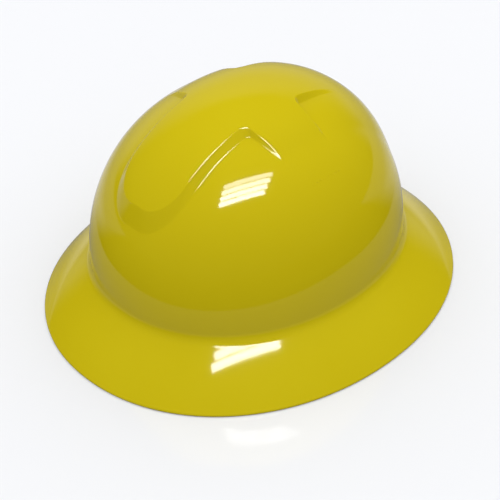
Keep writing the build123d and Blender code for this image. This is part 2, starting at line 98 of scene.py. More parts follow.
shell_columns = 960
outer_rings = (80, 18, 110)
inner_rings = (36, 8, 50)
upper_brim_rings = 48
lower_brim_rings = 24
dome_points = 800
edge_points = 12
brim_slope_guess = radians(40)
brim_slope_rounds = 40
wall_halvings = 30

# Suspension sizes that the pieces here share with the frame

key_angle = 49.0
key_radius = 103.5 * mm
key_thickness = 2.8 * mm
tongue_width = 20.4 * mm
socket_mouth = 62.0 * mm
socket_depth = 15.0 * mm
socket_wall = 1.6 * mm
socket_roof = 3.0 * mm
socket_edge = 0.5 * mm
socket_sink = 1.2 * mm
slot_edge = 0.2 * mm
fit_gap = 0.3 * mm

# Crown webbing

web_width = 19.0 * mm
web_thickness = 1.3 * mm
web_apex = 128.0 * mm
web_lift = 2.1 * mm
web_leave_radius = 98.5 * mm
web_leave_height = 62.0 * mm
web_lap = 24.0 * mm
web_bar_centre = 54.7 * mm
web_bar_height = 3.6 * mm
web_bar_clearance = 1.2 * mm
web_lap_out = 2.2 * mm
web_lap_drop = 2.6 * mm
web_bends = [bend * mm for bend in (0.6, 1.0, 0.95, 0.95, 0.95, 0.9, 0.4)]
web_edge = 0.62
web_squareness = 10
web_columns = 13
web_arc_points = 90
web_lap_points = 26
lap_seam_inset = 3.5 * mm
side_seam_inset = 2.6 * mm
stitch_pitch = 2.9 * mm
patch_size = 44.0 * mm
patch_thickness = 1.6 * mm
patch_round = 6.0 * mm
patch_rings = 15
patch_corner_steps = 8
patch_squareness = 24
patch_seam = 0.84
patch_groove_depth = 0.28
patch_groove_width = 0.03

# Sewing thread: each stitch's widths along it, and how far it stands out of the cloth

thread_profile = ((-0.5, 0.0), (-0.42, 0.7), (-0.2, 1.0), (0.2, 1.0), (0.42, 0.7), (0.5, 0.0))
thread_sides = 6
thread_rise = 0.35
thread_half_height = 0.75

# Suspension meshes: the distance at which points are merged, and the degrees that a bend turns by per point

merge_distance = 0.004 * mm
turn_per_point = 3

# Headband and pads

band_half_length = 111.0 * mm
band_half_width = 86.0 * mm
band_end_share = 0.884
band_thickness = 1.8 * mm
band_middle = 36.0 * mm
brow_pad_thickness = 4.5 * mm
brow_pad_height = 31.0 * mm
brow_pad_end = 22.0 * mm
pad_fullness = 5
pad_back_gap = 0.05 * mm
brow_rim = 0.9 * mm
brow_rows = 33
brow_back_rows = 7
brow_back_share = 0.94
brow_spacing = 1.6 * mm
brow_roundness = 0.6
brow_end_taper = 9.0 * mm
brow_end_height = 0.86
brow_seam = 0.78
brow_seam_margin = 2
brow_stitch_pitch = 3.4 * mm
brow_groove_depth = 0.3
brow_groove_width = 0.05
channel_pitch = 26.0 * mm
channel_width = 1.6 * mm
channel_depth = 0.2
wrinkle_seed = 5
wrinkle_waves = 7
wrinkle_length = 6.0 * mm
wrinkle_depth = 0.16 * mm
nape_pad_thickness = 4.3 * mm
nape_pad_width = 62.0 * mm
nape_pad_height = 24.0 * mm
nape_pad_round = 9.0 * mm
nape_pad_recess = 4.2 * mm
nape_pad_recess_depth = 1.8 * mm
nape_rim = 0.7 * mm
nape_rings = 22
nape_corner_steps = 14
nape_back_rings = 5
nape_back_share = 0.985
nape_hole_middle = 0.2
nape_roundness = 0.55
nape_seam = 0.86
nape_stitch_pitch = 3.2 * mm
nape_groove_depth = 0.35
nape_groove_width = 0.03

# Nape straps, drawn in a frame at the side pivots that slopes down to the rear

pivot_y = 8.0 * mm
pivot_z = 40.0 * mm
nape_drop = radians(13.2)
strap_height = 16.0 * mm
strap_thickness = 1.4 * mm
strap_layer = 0.9 * mm
strap_side = 82.6 * mm
strap_side_inset = 6.3 * mm
strap_flat_half = 34.5 * mm
strap_corner_radius = 26.0 * mm
strap_tail = 13.0 * mm
strap_tail_spacing = 1.0 * mm
strap_flat_columns = 120
strap_end_columns = 16
strap_end_turn = 0.04
strap_end_margin = 0.5 * mm
strap_early_columns = 8
strap_sharp_angle = radians(35)
same_place = 0.001 * mm
tooth_module = 0.8 * mm
pinion_teeth = 10
pressure_angle = radians(20)
rack_loosen = 21.0 * mm
rack_tighten = 8.0 * mm
backlash = 0.24 * mm
housing_channel = 1.9 * mm
housing_base = 1.5 * mm


# Mesh helpers


def add_object(name, data):
    """New object of the scene with this mesh, camera or lamp."""
    made = bpy.data.objects.new(name, data)
    bpy.context.scene.collection.objects.link(made)
    return made


def add_mesh(name, points, faces, smooth=True):
    """New piece from points and the faces between them."""
    mesh = bpy.data.meshes.new(name)
    mesh.from_pydata([tuple(p) for p in points], [], faces)
    mesh.validate()
    mesh.polygons.foreach_set("use_smooth", [smooth] * len(mesh.polygons))
    return add_object(name, mesh)


def bridge(first, second, count):
    """Faces between two closed rings of points that start at these indices."""
    return [
        (first + i, first + (i + 1) % count, second + (i + 1) % count, second + i)
        for i in range(count)
    ]


def travel(line):
    """Distance along a line of points up to each of them."""
    return np.concatenate([[0], np.cumsum(np.hypot(np.diff(line[:, 0]), np.diff(line[:, 1])))])


def rounded_outline(points, radii, steps=24):
    """Closed polyline with its corners rounded by arcs, as an array of points."""
    points = [np.array(p, float) for p in points]
    line = []
    for index, corner in enumerate(points):
        back = points[index - 1] - corner
        ahead = points[(index + 1) % len(points)] - corner
        back = back / np.linalg.norm(back)
        ahead = ahead / np.linalg.norm(ahead)
        half = np.arccos(np.clip(back @ ahead, -1, 1)) / 2
        radius = radii[index]
        middle = (back + ahead) / np.linalg.norm(back + ahead)
        centre = corner + middle * radius / sin(half)
        start = corner + back * radius / tan(half) - centre
        end = corner + ahead * radius / tan(half) - centre
        a = atan2(start[1], start[0])
        turn = (atan2(end[1], end[0]) - a + pi) % (2 * pi) - pi
        for step in range(steps + 1):
            b = a + turn * step / steps
            line.append(centre + radius * np.array((cos(b), sin(b))))
    return np.array(line)


# Shell


def bezier(t, start, first, second, end):
    """Places on a cubic curve from its start, two handles and end."""
    near = (1 - t) ** 3 * start + 3 * (1 - t) ** 2 * t * first
    return near + 3 * (1 - t) * t ** 2 * second + t ** 3 * end


def dome_curve(radius, top):
    """Half section of a dome: a cubic curve, flat at the top and upright at the base."""
    t = np.linspace(0, 1, dome_points)
    side = dome_base + (top - dome_base) * side_handle_share
    reach = bezier(t, 0, radius * top_handle_share, radius, radius)
    return reach, bezier(t, top, top, side, dome_base)


def gauge(x, y):
    """Half-length of the plan oval through a point."""
    return (np.abs(x) ** plan_power + np.abs(y) ** plan_power) ** (1 / plan_power)


def crown_outline(grow, step_grow, rear_grow):
    """Plan outline of the raised cross, grown separately at tongue (-Y), side lobes and rear lobe."""
    side = [
        (tongue_tip_half_width + grow, -tongue_reach - grow),
        (notch_half_width + grow, -notch_front - step_grow),
        (lobe_reach, -notch_front + lobe_taper - step_grow),
        (lobe_reach, notch_rear + step_grow),
        (notch_half_width + rear_grow, notch_rear + step_grow),
        (tongue_tip_half_width + rear_grow, tongue_reach + rear_grow),
    ]
    notch = notch_round - step_grow
    radii = [tongue_round + grow, notch, lobe_round, lobe_round, notch, tongue_round + rear_grow]
    return rounded_outline(side + [(-x, y) for x, y in reversed(side)], radii + radii[::-1])


def lean(height):
    """How far the dome leans to the rear at a height."""
    return dome_lean * np.maximum(height - dome_base, 0)


def outline_reach(line, angles):
    """Distance of a star-shaped outline from the middle at each angle."""
    line = np.vstack([line, line[:1]])
    shares = np.linspace(0, 1, edge_points, endpoint=False)[:, None]
    fine = np.vstack([start + (end - start) * shares for start, end in zip(line, line[1:])])
    turn = np.arctan2(fine[:, 1], fine[:, 0])
    order = np.argsort(turn)
    return np.interp(angles, turn[order], np.hypot(*fine[order].T), period=2 * pi)


def crown_rise(x, y, inset):
    """Height of the raised crown's own dome above the main dome, faded out smoothly where it dips below."""
    main = dome_curve(dome_half_length - inset, dome_height - inset)
    crown = dome_curve(crown_half_length - inset, dome_height + crown_lift - inset)
    stretch = (crown_half_length - inset) / (crown_half_width - inset)
    below = np.interp(gauge(x / width_share, y), *main)
    above = np.interp(gauge(x * stretch, y - crown_rearward), *crown, right=0)
    rise = above - below
    return (rise + np.sqrt(rise ** 2 + crown_blend ** 2)) / 2


def ramp(share, r):
    """Wall round the crown: 1 at the crest, 0 at the foot, each rounded end taking up the share r."""
    fall = np.where(share < r, share ** 2 / (2 * r * (1 - r)), (share - r / 2) / (1 - r))
    return 1 - np.where(share > 1 - r, 1 - (1 - share) ** 2 / (2 * r * (1 - r)), fall)


def smooth_step(value, low, high):
    """Rise from 0 at the low value to 1 at the high one, level at both ends."""
    share = np.clip((value - low) / (high - low), 0, 1)
    return share * share * (3 - 2 * share)


def rear_merge(y):
    """Share by which the dome beside the rear lobe rises to meet it: the step fades out rearwards."""
    return smooth_step(y, rear_merge_start, rear_merge_end)


def brim_arc():
    """Start, and start and end slopes, of the slightly bowed upper face of the brim."""
    slope = brim_slope_guess
    for _ in range(brim_slope_rounds):
        start = (
            dome_half_length + root_round - root_round * sin(slope),
            dome_base - root_round * cos(slope),
        )
        chord = atan2(start[1] - rim_edge, brim_half_length - start[0])
        slope = chord - brim_bow
    return start, slope, chord + brim_bow


def brim_line(inset, steps):
    """Half section of the root fillet and the brim, from the dome's base outwards."""
    start, root_slope, end_slope = brim_arc()
    centre = (dome_half_length + root_round, dome_base)
    radius = root_round + inset
    turns = np.linspace(pi, 1.5 * pi - root_slope, steps // 3)
    fillet = [(centre[0] + radius * cos(a), centre[1] + radius * sin(a)) for a in turns]
    bow_radius = hypot(brim_half_length - start[0], rim_edge - start[1]) / (2 * sin(brim_bow))
    bow_centre = (start[0] - bow_radius * sin(root_slope), start[1] - bow_radius * cos(root_slope))
    radius = bow_radius - inset
    slopes = np.linspace(root_slope, end_slope, steps)[1:]
    return fillet + [(bow_centre[0] + radius * sin(a), bow_centre[1] + radius * cos(a)) for a in slopes]


def rim_line(top, under):
    """Half section round the rim's edge: a small round, an upright land and a flat ring to stand on."""
    outer = brim_half_length
    corner = [(outer - rim_round * inwards, rim_round * up) for inwards, up in rim_corner_shares]
    return [
        (top[0] - rim_top_inset, top[1]), (outer, rim_edge - rim_round / 2), *corner,
        (under + rim_ring_width, 0.0), (under, rim_ring_rise),
    ]


def build_shell():
    """The one-piece shell: outer skin, brim, rim, inner skin and the sockets on its wall."""
    angles = np.linspace(0, 2 * pi, shell_columns, endpoint=False)
    across, along = np.cos(angles), np.sin(angles)
    per_reach = gauge(across / width_share, along)

    def add_skin(inset, counts):
        """Rings from the middle of the crown to the dome's base, each as its x, y and height."""
        curve = dome_curve(dome_half_length - inset, dome_height - inset)
        crest = outline_reach(crown_outline(-inset, -inset, -inset), angles)
        foot = outline_reach(crown_outline(ramp_run - inset, step_run - inset, rear_run - inset), angles)
        at_lobe = smooth_step(
            np.abs(crest * across), notch_half_width - notch_round, notch_half_width + notch_round,
        )
        round_share = crest_round / ramp_run * (1 - at_lobe) + crest_round / step_run * at_lobe
        inner, sloped, outer = counts
        skin = [(crest * share, 1.0) for share in np.sin(np.linspace(0, 1, inner + 1)[1:] * pi / 2)]
        for step in range(1, sloped + 1):
            share = (1 - cos(pi * step / sloped)) / 2
            skin.append((crest + (foot - crest) * share, ramp(share, round_share)))
        result = []
        for reach, part in skin:
            x, y = reach * across, reach * along
            part = part + (1 - part) * rear_merge(y)
            height = np.interp(gauge(x / width_share, y), *curve) + part * crown_rise(x, y, inset)
            result.append((x, y + lean(height), height))
        length = travel(np.column_stack(curve))
        start = np.interp(foot * per_reach, curve[0], length)
        for share in np.linspace(0, 1, outer + 1)[1:]:
            along_curve = start + (length[-1] - start) * share
            reach = np.interp(along_curve, length, curve[0]) / per_reach
            x, y = reach * across, reach * along
            height = np.interp(along_curve, length, curve[1])
            merged = rear_merge(y) * smooth_step(height, wall_fade_low, wall_fade_high)
            height = height + merged * crown_rise(x, y, inset)
            result.append((x, y + lean(height), height))
        return result

    rings = add_skin(0, outer_rings)
    upper = brim_line(0, upper_brim_rings)
    lower = [p for p in brim_line(wall, lower_brim_rings) if p[1] > 0]
    for reach, height in upper[1:-1] + rim_line(upper[-1], lower[-1][0]) + lower[::-1]:
        reach = reach / per_reach
        rings.append((reach * across, reach * along, np.full(shell_columns, height)))
    rings += add_skin(wall, inner_rings)[::-1][1:]

    points = [[float(axis.mean()) for axis in rings[0]]]
    for ring in rings:
        points += list(zip(*ring))
    last = len(points)
    points.append([float(axis.mean()) for axis in rings[-1]])
    faces = [(0, 1 + i, 1 + (i + 1) % shell_columns) for i in range(shell_columns)]
    start = 1
    for _ in rings[1:]:
        faces += [f[::-1] for f in bridge(start, start + shell_columns, shell_columns)]
        start += shell_columns
    faces += [(start + (i + 1) % shell_columns, start + i, last) for i in range(shell_columns)]
    add_sockets(points, faces)
    return add_mesh("hat_shell", points, faces)


def wall_reach(out, side, sideways, height):
    """Distance of the dome's inner face along a direction, from a point beside the middle, at a height."""
    curve = dome_curve(dome_half_length - wall, dome_height - wall)
    half_length = np.interp(-height, -curve[1], curve[0])
    near, far = 0.0, dome_half_length
    for _ in range(wall_halvings):
        middle = (near + far) / 2
        x, y = out * middle + side * sideways
        inside = gauge(x / width_share, y - lean(height)) < half_length
        near, far = (middle, far) if inside else (near, middle)
    return near


def add_sockets(points, faces):
    """Four sockets on the inner wall that hold the suspension keys: a box with a slot open at its foot."""
    half_slot = tongue_width / 2 + fit_gap
    half_outer = half_slot + socket_wall
    slot_in = key_radius - fit_gap
    inner = slot_in - socket_wall
    slot_out = key_radius + key_thickness + fit_gap
    roof = socket_mouth + socket_depth
    top = roof + socket_roof
    soft = socket_edge
    ring_corners = 6
    for angle in (key_angle, 180 - key_angle, 180 + key_angle, 360 - key_angle):
        out, side = (axis[:2] for axis in plan_axes(angle)[:2])

        def ring(reach_in, reach_out, half, height, cut):
            ends = [
                reach_out or wall_reach(out, side, way * half, height) + socket_sink for way in (-1, 1)
            ]
            corners = [
                (reach_in, -half + cut), (reach_in + cut, -half), (ends[0], -half),
                (ends[1], half), (reach_in + cut, half), (reach_in, half - cut),
            ]
            first = len(points)
            for reach, sideways in corners:
                points.append((*(out * reach + side * sideways), height))
            return first

        rings = [
            ring(slot_in, slot_out, half_slot, roof, slot_edge),
            ring(slot_in, slot_out, half_slot, socket_mouth, slot_edge),
            ring(inner + soft / 2, None, half_outer - soft / 2, socket_mouth, soft),
            ring(inner, None, half_outer, socket_mouth + soft, soft),
            ring(inner, None, half_outer, top - soft, soft),
            ring(inner + soft, None, half_outer - soft, top, soft),
        ]
        for first, second in zip(rings, rings[1:]):
            faces.extend(bridge(first, second, ring_corners))
        faces.append([rings[0] + i for i in range(ring_corners)])
        faces.append([rings[-1] + i for i in reversed(range(ring_corners))])


# Sewn and moulded pieces of the suspension


def plan_axes(angle):
    """Outward, sideways and upward directions at an angle round the hat."""
    a = radians(angle)
    return np.array((cos(a), sin(a), 0)), np.array((-sin(a), cos(a), 0)), np.array((0, 0, 1))


def loft(name, rings, strip):
    """Closed rings of equally many points joined to a closed tube, with each point's place in its weave."""
    count = len(rings[0])
    points = [p for ring in rings for p in ring]
    faces = []
    for index in range(len(rings) - 1):
        faces += bridge(index * count, (index + 1) * count, count)
    faces.append(list(reversed(range(count))))
    faces.append([len(points) - count + i for i in range(count)])
    piece = add_mesh(name, points, faces)
    layer = piece.data.attributes.new("strip", "FLOAT_VECTOR", "POINT")
    layer.data.foreach_set("vector", np.array(strip, float).ravel())
    return piece


def finish_mesh(piece, sharp_angle=0):
    """Merges doubled points, turns the faces outwards and keeps corners above an angle sharp."""
    made = bmesh.new()
    made.from_mesh(piece.data)
    bmesh.ops.remove_doubles(made, verts=made.verts, dist=merge_distance)
    bmesh.ops.dissolve_degenerate(made, edges=made.edges, dist=merge_distance)
    bmesh.ops.recalc_face_normals(made, faces=made.faces)
    if sharp_angle:
        for edge in made.edges:
            if len(edge.link_faces) == 2 and edge.calc_face_angle(0) > sharp_angle:
                edge.smooth = False
    made.to_mesh(piece.data)
    made.free()
    return piece


def walk(start, heading, steps, spacing):
    """Plan line from a start along a heading: each step is a length and the angle that it turns by."""
    line = [(start[0], start[1], heading)]
    for length, turn in steps:
        count = max(2, int(length / spacing))
        if turn:
            count = max(count, int(abs(degrees(turn)) / turn_per_point))
        piece = length / count
        for _ in range(count):
            x, y, a = line[-1]
            middle = a + turn / count / 2
            chord = piece if not turn else 2 * piece / (turn / count) * sin(turn / count / 2)
            line.append((x + chord * cos(middle), y + chord * sin(middle), a + turn / count))
    return np.array(line)


def stitches(name, places, length=2.3 * mm, radius=0.34 * mm):
    """Short sunk threads, each at a place with its direction and the surface's outward direction."""
    points, faces = [], []
    for place, way, outward in places:
        place, way, outward = (np.array(v, float) for v in (place, way, outward))
        way /= np.linalg.norm(way)
        side = np.cross(outward, way)
        side /= np.linalg.norm(side)
        lift = np.cross(way, side)
        first = len(points)
        for share, width in thread_profile:
            middle = place + way * length * share
            for turn in range(thread_sides):
                a = 2 * pi * turn / thread_sides
                rise = radius * width * (thread_rise + thread_half_height * sin(a))
                points.append(middle + side * radius * width * cos(a) + lift * rise)
        for ring in range(first, first + thread_sides * (len(thread_profile) - 1), thread_sides):
            faces += bridge(ring, ring + thread_sides, thread_sides)
    return finish_mesh(add_mesh(name, points, faces))


def dashes(corners, pitch):
    """Places and directions of a row of stitches along a line of 2-D corners."""
    row = []
    for start, end in zip(corners[:-1], corners[1:]):
        start, end = np.array(start), np.array(end)
        span = np.linalg.norm(end - start)
        count = max(1, round(span / pitch))
        for index in range(count):
            row.append((start + (end - start) * (index + 0.5) / count, (end - start) / span))
    return row


def arc_stitches(axes, centre, level, face, turn, rows):
    """Stitches on the outer (1) or inner (-1) face of a strap that is bent to an arc round the hat."""
    out, side, up = axes

    def spot(s, w):
        return out * level * sin(turn(s)) + side * w + up * (centre + level * cos(turn(s)))

    places = []
    for (s, w), (ds, dw) in rows:
        place, outward = spot(s, w), out * sin(turn(s)) + up * cos(turn(s))
        places.append((place, spot(s + ds * mm, w + dw * mm) - place, face * outward))
    return places


def web_arc(apex):
    """A crown strap's arc over the head: the height of its centre, its radius and the turn at its end."""
    drop = apex - web_leave_height
    radius = (web_leave_radius ** 2 + drop ** 2) / (2 * drop)
    return apex - radius, radius, atan2(web_leave_radius, web_leave_height - apex + radius)


def web_line(apex):
    """Half a crown strap in its upright plane: over the head, round the key's bar and back up as a lap."""
    centre, radius, end = web_arc(apex)
    main = [(radius * sin(a), centre + radius * cos(a)) for a in np.linspace(0, end, web_arc_points)]
    bar = key_radius + key_thickness / 2
    half_x = key_thickness / 2 + fit_gap + web_thickness / 2
    half_z = web_bar_height / 2 + fit_gap + web_thickness / 2
    low, high = web_bar_centre - half_z, web_bar_centre + half_z
    outer = radius + web_thickness
    lap_turns = np.linspace(end, end - web_lap / outer, web_lap_points)
    lap = [(outer * sin(a), centre + outer * cos(a)) for a in lap_turns]
    corners = [
        main[-2], main[-1], (bar - half_x, high + web_bar_clearance), (bar - half_x, low),
        (bar + half_x, low), (bar + half_x, high),
        (lap[0][0] + web_lap_out, lap[0][1] - web_lap_drop), lap[0], lap[1],
    ]
    return np.array(main[:-1] + rounded_line(corners, web_bends) + lap[1:])


def rounded_line(points, radii, steps=7):
    """Open polyline with its inner corners rounded by arcs."""
    closed = rounded_outline(points[1:-1] + [points[-1], points[0]], radii + [0.01 * mm] * 2, steps)
    return [tuple(p) for p in closed[:len(radii) * (steps + 1)]]


def build_crown_strap(name, angle, apex):
    """Woven strap from lap to lap across the hat, with a box of stitches through each lap."""
    half = web_line(apex)
    line = np.vstack([half[::-1] * (-1, 1), half[1:]])
    tangent = np.gradient(line, axis=0)
    tangent /= np.linalg.norm(tangent, axis=1)[:, None]
    normal = np.column_stack([-tangent[:, 1], tangent[:, 0]])
    out, side, up = plan_axes(angle)
    widths = np.linspace(-1, 1, web_columns)
    rings, strip = [], []
    for place, away, s in zip(line, normal, travel(line)):
        ring = []
        for face in (1, -1):
            for share in widths * face:
                edge = web_edge + (1 - web_edge) * np.sqrt(max(0, 1 - abs(share) ** web_squareness))
                x, z = place + away * face * web_thickness / 2 * edge
                w = share * web_width / 2
                ring.append(out * x + side * w + up * z)
                strip.append((s, w, face * web_thickness))
        rings.append(ring)
    centre, radius, end = web_arc(apex)
    near, far, wide = lap_seam_inset, web_lap - lap_seam_inset, web_width / 2 - side_seam_inset
    box = [(near, -wide), (far, -wide), (far, wide), (near, wide), (near, -wide)]
    rows = [
        row for seam in (box, [(near, -wide), (far, wide)], [(near, wide), (far, -wide)])
        for row in dashes(seam, stitch_pitch)
    ]
    places = []
    for way in (1, -1):
        for face, level in ((1, radius + 1.5 * web_thickness), (-1, radius - web_thickness / 2)):
            places += arc_stitches(
                (out, side, up), centre, level, face, lambda s: way * (end - s / radius), rows,
            )
    return loft(name, rings, strip), stitches(name + "_stitching", places)


def build_crown_patch():
    """Square patch sewn over the crossing, curved to lie on the upper strap."""
    centre, radius = web_arc(web_apex + web_lift)[:2]
    inner = radius + web_thickness / 2 + fit_gap
    out, side, up = plan_axes(key_angle)
    h = patch_size / 2
    outline = rounded_outline([(h, -h), (h, h), (-h, h), (-h, -h)], [patch_round] * 4, patch_corner_steps)
    shares = np.sin(np.linspace(0, 1, patch_rings)[1:] * pi / 2)
    rings, strip = [], []
    for face in (1, 0):
        for share in (shares if face else shares[::-1]):
            edge = sqrt(max(0, 1 - share ** patch_squareness))
            seam = patch_groove_depth * groove(share, patch_seam, patch_groove_width)
            lift = patch_thickness * (0.5 + (face - 0.5) * (edge - seam))
            level = inner + lift
            rings.append([
                out * level * sin(u / inner) + side * v + up * (centre + level * cos(u / inner))
                for u, v in outline * share
            ])
            strip += [(u, v, lift) for u, v in outline * share]
    inset = h * patch_seam
    square = [(inset, -inset), (inset, inset), (-inset, inset), (-inset, -inset), (inset, -inset)]
    sunk = patch_groove_depth / 2
    places = []
    for lift, face in ((patch_thickness * (1 - sunk), 1), (patch_thickness * sunk, -1)):
        places += arc_stitches(
            (out, side, up), centre, inner + lift, face, lambda u: u / inner, dashes(square, stitch_pitch),
        )
    return loft("crown_patch_cloth", rings, strip), stitches("crown_patch_stitching", places)


def band_arcs(inset):
    """Radii of the headband's end arcs and side arcs in plan, with the distance of their centres."""
    half_width = band_half_width - inset
    end_radius = band_half_width * band_end_share - inset
    end_centre = band_half_length - band_half_width * band_end_share
    side_radius = (half_width ** 2 + end_centre ** 2 - end_radius ** 2) / (2 * (half_width - end_radius))
    return end_radius, end_centre, side_radius, side_radius - half_width


def brow_line(inset, spacing):
    """Plan line of the brow pad from the wearer's left side round the front to the right."""
    end_radius, end_centre, side_radius, side_centre = band_arcs(inset)
    turn = atan2(end_centre, side_centre)
    start = asin(brow_pad_end / side_radius)
    place = (side_radius * cos(start) - side_centre, -brow_pad_end)
    side = (side_radius * (turn - start), -(turn - start))
    front = (end_radius * (pi - 2 * turn), -(pi - 2 * turn))
    return walk(place, -pi / 2 - start, [side, front, side], spacing)


def pillow(share, roundness):
    """Fullness of a stuffed pad at a share of the way from its middle to its edge."""
    return (1 - abs(share) ** pad_fullness) ** roundness


def groove(share, middle, width):
    """Depth of a sewn groove with rounded sides, 1 at its middle."""
    return exp(-((share - middle) / width) ** 2)


def build_brow_pad():
    """Cloth-covered foam pad: flat against the band, crowned towards the head, sewn near both edges."""
    line = brow_line(band_thickness + fit_gap, brow_spacing)
    distance = travel(line)
    length = distance[-1]
    half = brow_pad_height / 2
    swell = brow_pad_thickness - brow_rim - pad_back_gap
    crowned = np.linspace(-1, 1, brow_rows)
    flat = np.linspace(brow_back_share, -brow_back_share, brow_back_rows)
    rng = np.random.default_rng(wrinkle_seed)
    waves = [
        (rng.uniform(0.7, 2.6), rng.uniform(0, 2 * pi), rng.uniform(-2, 2)) for _ in range(wrinkle_waves)
    ]
    rings, strip = [], []
    for (x, y, heading), s in zip(line, distance):
        inward = np.array((sin(heading), -cos(heading), 0))
        to_end = min(s, length - s) / brow_end_taper
        full = sqrt(max(0.0, 1 - (1 - min(1, to_end)) ** 3))
        ring = []
        for index, level in enumerate(np.concatenate([crowned, flat])):
            if index < brow_rows:
                crown = pillow(level, brow_roundness)
                seam = groove(abs(level), brow_seam, brow_groove_width)
                channel = groove((s / channel_pitch) % 1, 0.5, channel_width / channel_pitch)
                channel *= abs(level) < brow_seam
                wrinkle = sum(sin(f * s / wrinkle_length + p + q * level * 3) for f, p, q in waves)
                cut = 1 - brow_groove_depth * seam - channel_depth * channel
                depth = brow_rim + full * swell * crown * cut
                depth += wrinkle_depth * wrinkle / len(waves) * crown * full
                depth = min(depth, brow_pad_thickness)
            else:
                depth = pad_back_gap
            tall = level * half * (brow_end_height + (1 - brow_end_height) * full)
            ring.append(np.array((x, y, band_middle + tall)) + inward * depth)
            strip.append((s, tall, depth))
        rings.append(ring)
    piece = loft("brow_pad_cloth", rings, strip)
    places = []
    count = int(length / brow_stitch_pitch)
    depth = brow_rim + swell * pillow(brow_seam, brow_roundness) * (1 - brow_groove_depth)
    for row in (-brow_seam, brow_seam):
        for index in range(brow_seam_margin, count - brow_seam_margin):
            s = length * (index + 0.5) / count
            x, y, heading = (np.interp(s, distance, line[:, k]) for k in range(3))
            inward = np.array((sin(heading), -cos(heading), 0))
            place = np.array((x, y, band_middle + row * half)) + inward * depth
            places.append((place, (cos(heading), sin(heading), 0), inward))
    return piece, stitches("brow_pad_stitching", places, 2.4 * mm, 0.3 * mm)


def in_nape(x, depth, height):
    """Point of the nape frame in the hat's frame."""
    return np.array((
        x, pivot_y + depth * cos(nape_drop) + height * sin(nape_drop),
        pivot_z - depth * sin(nape_drop) + height * cos(nape_drop),
    ))


def nape_way(x, depth, height):
    """Direction of the nape frame in the hat's frame."""
    return in_nape(x, depth, height) - in_nape(0, 0, 0)


def build_nape_pad(outer):
    """Knitted foam pad on the ratchet's inner face: a low pillow with a recess for the knob's screw."""
    w, h = nape_pad_width / 2, nape_pad_height / 2
    outline = rounded_outline([(w, -h), (w, h), (-w, h), (-w, -h)], [nape_pad_round] * 4, nape_corner_steps)
    corner_turns = np.arctan2(outline[:, 1], outline[:, 0])
    hole = np.column_stack([np.cos(corner_turns), np.sin(corner_turns)]) * nape_pad_recess
    swell = nape_pad_thickness - nape_rim
    rings, strip = [], []

    def add(ring, depth):
        rings.append([in_nape(-x, depth, z) for x, z in ring])
        strip.extend((x, z, depth) for x, z in ring)

    for share in np.sin(np.linspace(0, 1, nape_rings)[1:] * pi / 2):
        seam = groove(share, nape_seam, nape_groove_width)
        crown = pillow(share, nape_roundness)
        add(outline * share, outer - (nape_rim + swell * crown * (1 - nape_groove_depth * seam)))
    for share in np.linspace(0, 1, nape_back_rings):
        add(outline * (1 - share) * nape_back_share + hole * share, outer)
    for share in (1, nape_hole_middle):
        add(hole * share, outer - nape_pad_recess_depth)
    piece = loft("nape_pad_knit", rings, strip)
    places = []
    level = outer - nape_rim - swell * pillow(nape_seam, nape_roundness) * (1 - nape_groove_depth)
    inset = outline * nape_seam
    closed = np.vstack([inset, inset[:1]])
    distance = travel(closed)
    count = int(distance[-1] / nape_stitch_pitch)
    for index in range(count):
        s = distance[-1] * index / count
        (x, z), ahead = (
            [np.interp(at, distance, closed[:, k]) for k in range(2)] for at in (s, s + 0.4 * mm)
        )
        way = nape_way(-(ahead[0] - x), 0, ahead[1] - z)
        places.append((in_nape(-x, level, z), way, nape_way(0, -1, 0)))
    return piece, stitches("nape_pad_stitching", places, 2.2 * mm, 0.28 * mm)


def rack_edge():
    """Toothed edge of the rack's window: places along it and distances from the pinion's line."""
    pitch = pi * tooth_module
    pitch_line = pinion_teeth * tooth_module / 2
    tip, root = pitch_line - tooth_module + fit_gap, pitch_line + tooth_module + fit_gap
    clear = pitch_line + tooth_module + 2 * fit_gap
    half_gap = pitch / 4 + backlash / 2
    lean_run = tooth_module * tan(pressure_angle)
    first = -int((rack_tighten + clear) / pitch)
    last = int((rack_loosen + clear) / pitch)
    points = []
    for index in range(first, last + 1):
        middle = index * pitch
        points += [
            (middle - half_gap - lean_run, tip), (middle - half_gap + lean_run, root),
            (middle + half_gap - lean_run, root), (middle + half_gap + lean_run, tip),
        ]
    points = [(points[0][0] - fit_gap, tip)] + points + [(points[-1][0] + fit_gap, tip)]
    return np.array(points), clear


def strap_bends(side):
    """Plan line of a nape strap from its pivot to the start of its flat part."""
    side_radius = band_arcs(strap_side_inset)[2]
    reach = strap_flat_half - strap_side + side_radius
    side_turn = acos(reach / (side_radius - strap_corner_radius))
    corner = pi / 2 - side_turn
    start = (side * strap_side, -strap_height / 2 + -side * strap_layer)
    return walk(start, pi / 2, [
        (side_radius * side_turn, side * side_turn), (strap_corner_radius * corner, side * corner),
    ], 2 * mm)


